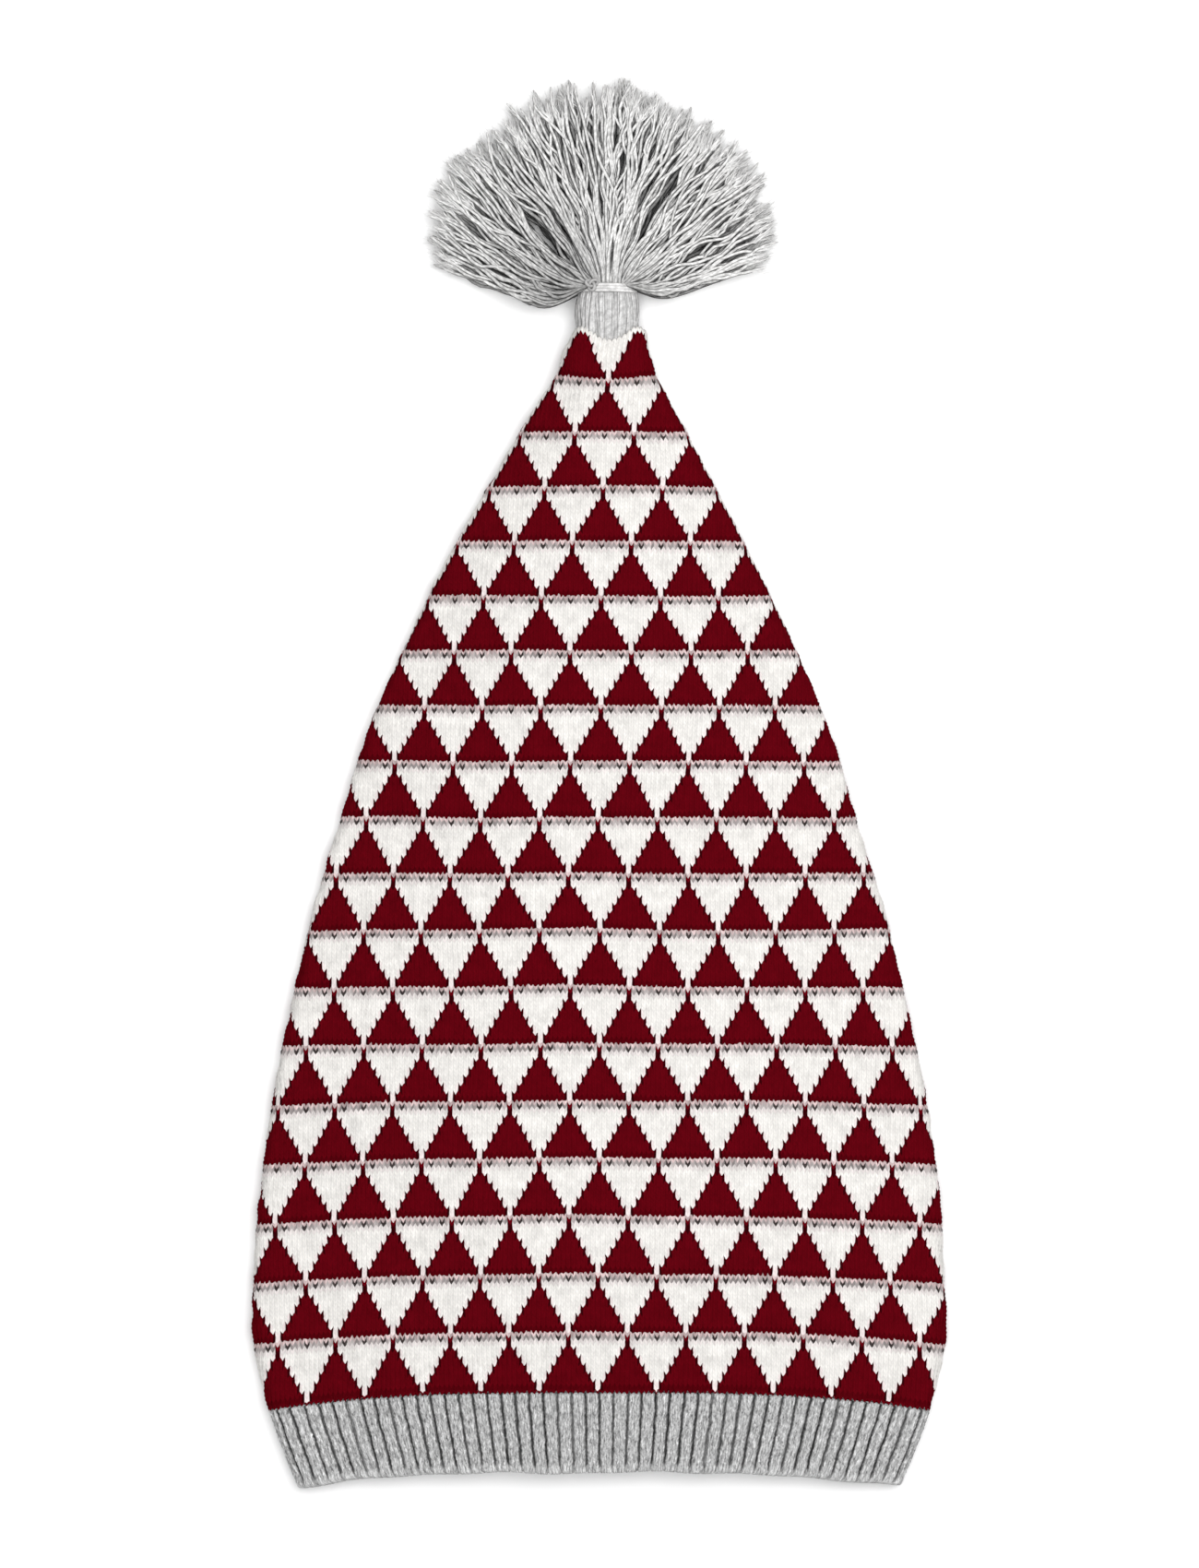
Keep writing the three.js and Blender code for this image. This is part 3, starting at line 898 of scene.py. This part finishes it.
# Drift of the strands' angles. Stray strands lie in the top layers and drift further
DRIFT = 0.08
STRAY_DRIFT = 0.22
STRAY_SHARE = 0.16
STRAY_LAYERS = (0.85, 1.0)
# Where the strands leave the tie: length that they keep together, half width and height, and spread
THROAT_LENGTH = 0.1
THROAT_HALF = {"x": 8.8, "z": 4.6}
THROAT_SPREAD = (0.5, 1.0)
THROAT_ALONG = TIE_ALONG + 0.8
# Heights of the deepest strands, and what the top layer and the fan's middle add
END_HEIGHT = {"deep": 0.9, "top": 5.5}
BELLY_HEIGHT = {"deep": 2.5, "top": 11.5, "middle": 2.5}
# Waves in a strand's length, their size for one wave, and how much of a wave goes up
WAVE_CYCLES = (1.6, 3.3, 5.5)
WAVE_SIZE = 1.5
WAVE_UPWARD = 0.5
# Light on the deepest strands, added on the top layer and at the fan's edges, and its spread
LIGHT = {"deep": 0.1, "top": 0.85, "edge": 0.4, "spread": 0.12}
# Shade where the strands to the sides leave the tie, and its length
SIDE_SHADE = {"left": 0.68, "right": 0.55}
SIDE_SHADE_LENGTH = {"left": 0.5, "right": 0.22}
# Light on the bare ends of the strands
END_LIGHT = 0.7

# Frayed ends: count on each strand, step where they leave it, splay, lengths and radii
FRAYED_ENDS = {
    "tassel_plies": (3, -4, 0.1, (6.0, 8.5), (0.1, 0.28, 0.22, 0.08)),
    "tassel_fibres": (9, -3, 0.22, (3.5, 7.0), (0.04, 0.08, 0.07, 0.03)),
}
# Spread of their starts, flatness of their splay, and their curl
FRAY_START = 0.24
FRAY_FLATNESS = (1, 1, 0.6)
FRAY_CURL = 0.05


def tubes(name, paths, radii, lights, material, sides):
    """Yarns as round tubes joined in one mesh. paths: strands x steps x 3, in millimetres from the hem's
    middle; radii and each of the lights: strands x steps, or one of the two."""
    count, steps, _ = paths.shape
    tangents = np.gradient(paths, axis=1)
    tangents /= np.linalg.norm(tangents, axis=2)[:, :, None]
    across = np.cross(tangents, (0.0, 0.0, 1.0))
    across /= np.maximum(np.linalg.norm(across, axis=2), 1e-6)[:, :, None]
    over = np.cross(across, tangents)
    turn = np.linspace(0, math.tau, sides + 1)
    ring = across[:, :, None] * np.cos(turn)[:, None] + over[:, :, None] * np.sin(turn)[:, None]
    points = paths[:, :, None] + ring * np.broadcast_to(radii, (count, steps))[:, :, None, None]
    points = points * MM + (HEM_X, HEM_Y, 0.0)
    steps_along = np.linalg.norm(np.diff(paths, axis=1), axis=2)
    along = np.concatenate([np.zeros((count, 1)), np.cumsum(steps_along, axis=1)], axis=1)
    around = np.broadcast_to(turn / math.tau, (count, steps, sides + 1))
    twist = (along / PLY_PITCH)[:, :, None] + YARN_RNG.uniform(0, 100, count)[:, None, None]
    wound = np.stack([around, np.broadcast_to(twist, around.shape)], axis=-1)
    strand = np.arange(count)[:, None, None]
    share = np.broadcast_to(np.linspace(0, 1, steps)[:, None], around.shape)
    bake = np.stack([(strand + around * 0.96) / count, share], axis=-1)
    strip = grid_faces(steps, sides + 1)
    faces = (strand * steps * (sides + 1) + strip).reshape(-1, 4)
    values = {}
    for key, value in lights.items():
        values[key] = np.repeat(np.broadcast_to(value, (count, steps)), sides + 1)
    maps = {"yarn": wound.reshape(-1, 2), "OFBake": bake.reshape(-1, 2)}
    return make_piece(name, points.reshape(-1, 3), faces, material, maps, values=values)


class Fan:
    """The strands of the tassel, a row each, with the places along them as columns."""

    def __init__(self):
        """Draws each strand's angle from the right, layer, 0 for the deepest, lock, drift and reach."""
        edge = math.radians(FAN_EDGE_ANGLE)
        spread = math.pi - 2 * edge
        each = (STRANDS, 1)
        number = np.arange(STRANDS)[:, None]
        even = (number + YARN_RNG.random(each)) / STRANDS
        layer = (number * GOLDEN_SHARE + LAYER_JITTER * YARN_RNG.random(each)) % 1
        lock = (even * LOCKS).astype(int)
        lock_place = lock + 0.5 + YARN_RNG.normal(0, LOCK_STRAY, LOCKS)[lock]
        lock_reach = YARN_RNG.uniform(*LOCK_REACH, LOCKS)[lock]
        is_stray = YARN_RNG.random(each) < STRAY_SHARE
        layer[is_stray] = YARN_RNG.uniform(*STRAY_LAYERS, is_stray.sum())
        drift = YARN_RNG.normal(0, DRIFT, each)
        drift = drift + np.where(is_stray, YARN_RNG.normal(0, STRAY_DRIFT, each), 0.0)
        self.angle = edge + even * spread
        self.layer = layer
        self.lock_angle = edge + lock_place * spread / LOCKS
        self.drift = drift * np.clip(np.sin(self.angle) * 2.5, 0.2, 1)
        reach = np.interp(np.degrees(self.angle), *FAN_REACH.T)
        self.reach = reach * lock_reach * YARN_RNG.uniform(*STRAND_REACH, each)
        self.sideways = np.abs(np.cos(self.angle))
        self.upright = np.sin(self.angle) ** 2
        self.upper = np.clip(3 * layer - 1, 0, 1)

    def by_side(self, sizes):
        return np.where(self.angle < math.pi / 2, sizes["right"], sizes["left"])

    def headings(self):
        """The angle of each strand along its length: drawn into its lock and drifting, nearer to upright
        at first on the upper layers, and pushed apart at the partings."""
        t = STRAND_PLACES
        gathered = np.clip(2.5 * self.layer, 0.1, 1)
        drawn = LOCK_DRAW * gathered * np.sin(math.pi * np.clip(1.1 * t, 0, 0.85)) ** 2
        heading = self.angle * (1 - drawn) + self.lock_angle * drawn + self.drift * (t - 0.4)
        risen = FAN_RISE * (math.pi / 2 - self.angle) * self.upright * self.upper
        heading = heading + risen * (1 - t) ** 2
        for parting in np.radians(FAN_PARTINGS):
            off = self.angle - parting
            pushed = PARTING_PUSH * np.sign(off) * np.exp(-((off / PARTING_WIDTH) ** 2)) * self.upper
            heading = heading + 2 * pushed * drawn
        return heading

    def heights(self):
        """Height of each strand along its length, once it has left the tie."""
        end = END_HEIGHT["deep"] + END_HEIGHT["top"] * self.layer**1.2
        top = BELLY_HEIGHT["top"] + BELLY_HEIGHT["middle"] * self.upright
        belly = BELLY_HEIGHT["deep"] + top * self.layer
        return end + (belly - end) * np.cos(0.5 * math.pi * STRAND_PLACES) ** 1.2

    def waves(self):
        """How far each strand sways to the side of its heading along its length."""
        t = STRAND_PLACES
        wave = np.zeros((STRANDS, len(t)))
        for cycles in WAVE_CYCLES:
            size = YARN_RNG.normal(0, WAVE_SIZE / cycles, (STRANDS, 1))
            phase = YARN_RNG.random((STRANDS, 1))
            wave += size * np.sin(math.tau * (cycles * t + phase))
        return wave * (np.clip(3 * t, 0, 1) * np.clip(0.35 + 1.3 * self.layer, 0, 1))

    def paths(self):
        """Points of the strands, which leave the tie, rise, bow and come down in a fan."""
        t = STRAND_PLACES
        heading = self.headings()
        bow = self.by_side(FAN_DROOP) * self.sideways**1.5 * np.sin(math.pi * t**0.6)
        x = FAN_CENTRE["x"] + np.cos(heading) * self.reach * t
        x = x + FAN_SHOULDER * (np.cos(self.angle) * self.sideways) * (1 - t) ** 2
        along = FAN_CENTRE["along"] + np.sin(heading) * self.reach * t - bow
        throat = np.exp(-((t / THROAT_LENGTH) ** 2))
        spread = YARN_RNG.uniform(*THROAT_SPREAD, (STRANDS, 1))
        start_x = FAN_CENTRE["x"] + THROAT_HALF["x"] * np.cos(self.angle) * spread
        start_z = NECK_MIDDLE_Z + THROAT_HALF["z"] * (2 * self.layer - 1)
        wave = self.waves()
        x = x * (1 - throat) + start_x * throat - np.sin(heading) * wave
        along = along * (1 - throat) + THROAT_ALONG * throat + np.cos(heading) * wave
        z = self.heights() * (1 - throat) + start_z * throat + WAVE_UPWARD * wave
        return np.stack([x, along, np.maximum(z, STRAND_RADIUS)], axis=-1)

    def lights(self):
        """Light on the strands, from 0 to 1: more on the upper layers, at the fan's edges and at the ends,
        and less where those to the sides leave the tie. Their sides are bare only near the ends."""
        t = STRAND_PLACES
        lit = ramp(self.layer, start=0.2, span=0.6)
        light = LIGHT["deep"] + LIGHT["top"] * lit**2 * (3 - 2 * lit)
        light = light + LIGHT["edge"] * self.sideways**12 * (1 - self.layer)
        light = light + YARN_RNG.uniform(-LIGHT["spread"], LIGHT["spread"], (STRANDS, 1))
        shade = self.by_side(SIDE_SHADE) * self.sideways
        shade = shade * np.exp(-((t / self.by_side(SIDE_SHADE_LENGTH)) ** 2))
        ends = END_LIGHT * ramp(t, start=0.55, span=0.4)
        return {
            "shade": np.maximum(np.clip(light, 0, 1) * (1 - shade), ends),
            "bare": END_LIGHT * ramp(t, start=0.8, span=0.18),
        }


def frayed_ends(name, paths, shades):
    """Plies or fibres that splay from the end of each strand."""
    count, leave, splay, lengths, radii = FRAYED_ENDS[name]
    start = np.repeat(paths[:, leave], count, axis=0)
    start = start + YARN_RNG.normal(0, FRAY_START, start.shape)
    ahead = np.repeat(paths[:, -1] - paths[:, leave], count, axis=0)
    ahead /= np.linalg.norm(ahead, axis=1)[:, None]
    splayed = YARN_RNG.normal(0, splay, ahead.shape) * FRAY_FLATNESS
    curl = YARN_RNG.normal(0, FRAY_CURL, ahead.shape)
    length = YARN_RNG.uniform(*lengths, len(start))[:, None, None]
    t = np.linspace(0, 1, len(radii))[:, None]
    bend = splayed[:, None] * t**1.6 + curl[:, None] * np.sin(math.tau * t)
    lines = start[:, None] + length * (ahead[:, None] * t + bend)
    lines[:, :, 2] = np.maximum(lines[:, :, 2], radii)
    return lines, radii, {"shade": np.repeat(shades, count, axis=0)}


def neck_strands():
    """The yarns of the neck, from inside the tip to under the tie, side by side round an oval."""
    count = NECK_OUTER + NECK_INNER
    number = np.arange(count)[:, None]
    is_outer = number < NECK_OUTER
    turn = number * math.tau / np.where(is_outer, NECK_OUTER, NECK_INNER)
    ring_size = np.where(is_outer, 1.0, NECK_INNER_SIZE)
    t = np.linspace(0, 1, NECK_STEPS)
    alongs, halves, heights = NECK_FORM.T
    along = alongs[0] + (NECK_END - alongs[0]) * t
    half = np.interp(along, alongs, halves)
    tall = np.interp(along, alongs, heights)
    sway = YARN_RNG.normal(0, NECK_SWAY, (count, 1))
    sway = sway * np.sin(math.tau * t + YARN_RNG.uniform(0, 6, (count, 1)))
    x = NECK_X + half * ring_size * np.cos(turn) + sway
    z = NECK_MIDDLE_Z + tall * ring_size * np.sin(turn) + YARN_RNG.normal(0, NECK_STRAY, (count, 1))
    lines = np.stack([x, np.broadcast_to(along, x.shape), z], axis=-1)
    radii = NECK_RADIUS * YARN_RNG.uniform(*NECK_RADII, (count, 1))
    return lines, radii, {"shade": YARN_RNG.uniform(*NECK_LIGHT, (count, 1))}


def tassel_pieces(material, neck_material, fibre_material):
    """The strands of the fan, their frayed plies and fibres, and the yarns of the neck."""
    fan = Fan()
    paths = fan.paths()
    lights = fan.lights()
    taper = np.interp(STRAND_PLACES, *STRAND_TAPER)
    radii = STRAND_RADIUS * YARN_RNG.uniform(*STRAND_RADII, (STRANDS, 1)) * taper
    end_shades = lights["shade"][:, -1:]
    pieces = [tubes("tassel_strands", paths, radii, lights, material, STRAND_SIDES)]
    for name in FRAYED_ENDS:
        pieces.append(tubes(name, *frayed_ends(name, paths, end_shades), fibre_material, FRAYED_SIDES))
    pieces.append(tubes("tassel_neck", *neck_strands(), neck_material, STRAND_SIDES))
    for piece in pieces:
        dress(piece, "tassel")


def tie_piece(material):
    """Yarn wound round the neck in a few turns, with its knot on the left."""
    steps = TIE_TURN_STEPS * TIE_TURNS
    turn = np.linspace(0, math.tau * TIE_TURNS, steps)
    wound = np.stack([
        NECK_X + TIE_HALF["x"] * np.cos(turn),
        TIE_ALONG + (turn / math.tau - TIE_TURNS / 2) * TIE_PITCH,
        NECK_MIDDLE_Z + TIE_HALF["z"] * np.sin(turn),
    ], axis=-1)
    loop = np.linspace(0, math.tau, steps)
    knot = np.stack([
        KNOT_SIZE * (np.sin(loop) + 2 * np.sin(2 * loop)) / 3,
        KNOT_SIZE * (np.cos(loop) - 2 * np.cos(2 * loop)) / 3,
        -KNOT_RISE * np.sin(3 * loop),
    ], axis=-1) + KNOT_PLACE
    lines = np.stack([wound, knot])
    piece = tubes("tassel_tie_yarn", lines, TIE_RADII, {"shade": TIE_LIGHT}, material, TIE_SIDES)
    dress(piece, "tassel_tie")


# Stage, light and camera

# Floor: size in metres, and how far it lies under the hat, in millimetres
FLOOR_SIZE = 8.0
FLOOR_DROP = 0.3
# Lamps: name, place and size in metres, and power in watts
LAMPS = (
    ("softbox", (0.15, 0.15, 2.2), 2.0, 39.5),
    ("side", (1.1, 0.5, 1.8), 0.9, 8.0),
)
WORLD_COLOUR = (1.0, 1.0, 1.0, 1.0)
WORLD_STRENGTH = 0.5
# The photograph's height and scale, its middle along the hat, and the height of the outline
IMAGE_HEIGHT = 1700
MM_PER_PIXEL = 0.3115
FRAME_MIDDLE_ALONG = 231.8
OUTLINE_HEIGHT = 6.0
LENS = 200.0


def stage():
    bpy.ops.mesh.primitive_plane_add(size=FLOOR_SIZE, location=(0, 0, -FLOOR_DROP * MM))
    floor = bpy.context.object
    floor.name = "floor"
    floor.data.materials.append(floor_material())


def lamp(name, location, size, power):
    """A round area light that points at the origin and doesn't show."""
    data = bpy.data.lights.new(name, "AREA")
    data.shape = "DISK"
    data.size = size
    data.energy = power
    light = bpy.data.objects.new(name, data)
    light.location = location
    light.rotation_euler = (-Vector(location)).to_track_quat("-Z", "Y").to_euler()
    light.visible_camera = False
    bpy.context.scene.collection.objects.link(light)


def studio():
    """Even light from all round, and the lamps."""
    world = bpy.data.worlds.new("studio")
    world.use_nodes = True
    background = world.node_tree.nodes["Background"]
    background.inputs["Color"].default_value = WORLD_COLOUR
    background.inputs["Strength"].default_value = WORLD_STRENGTH
    bpy.context.scene.world = world
    for row in LAMPS:
        lamp(*row)


def camera():
    """Straight above the hat, with the photograph's frame at the height of the hat's outline."""
    data = bpy.data.cameras.new("camera")
    data.lens = LENS
    distance = IMAGE_HEIGHT * MM_PER_PIXEL * LENS / data.sensor_width
    eye = bpy.data.objects.new("camera", data)
    eye.location = (HEM_X, HEM_Y + FRAME_MIDDLE_ALONG * MM, (OUTLINE_HEIGHT + distance) * MM)
    bpy.context.scene.collection.objects.link(eye)
    bpy.context.scene.camera = eye
    bpy.context.scene.view_settings.view_transform = "Standard"


stage()
studio()
camera()

front_pieces(knit_material("jacquard_knit", has_relief=True))
dress(back_piece(knit_material("jacquard_back", has_relief=False)), "hat_body")
dress(lining_piece(lining_material()), "hat_body")
dress(band_piece(rib_material()), "rib_band")
tassel_pieces(yarn_material("tassel_yarn"), yarn_material("neck_yarn"), yarn_material("tassel_fibre"))
tie_piece(yarn_material("tie_yarn"))
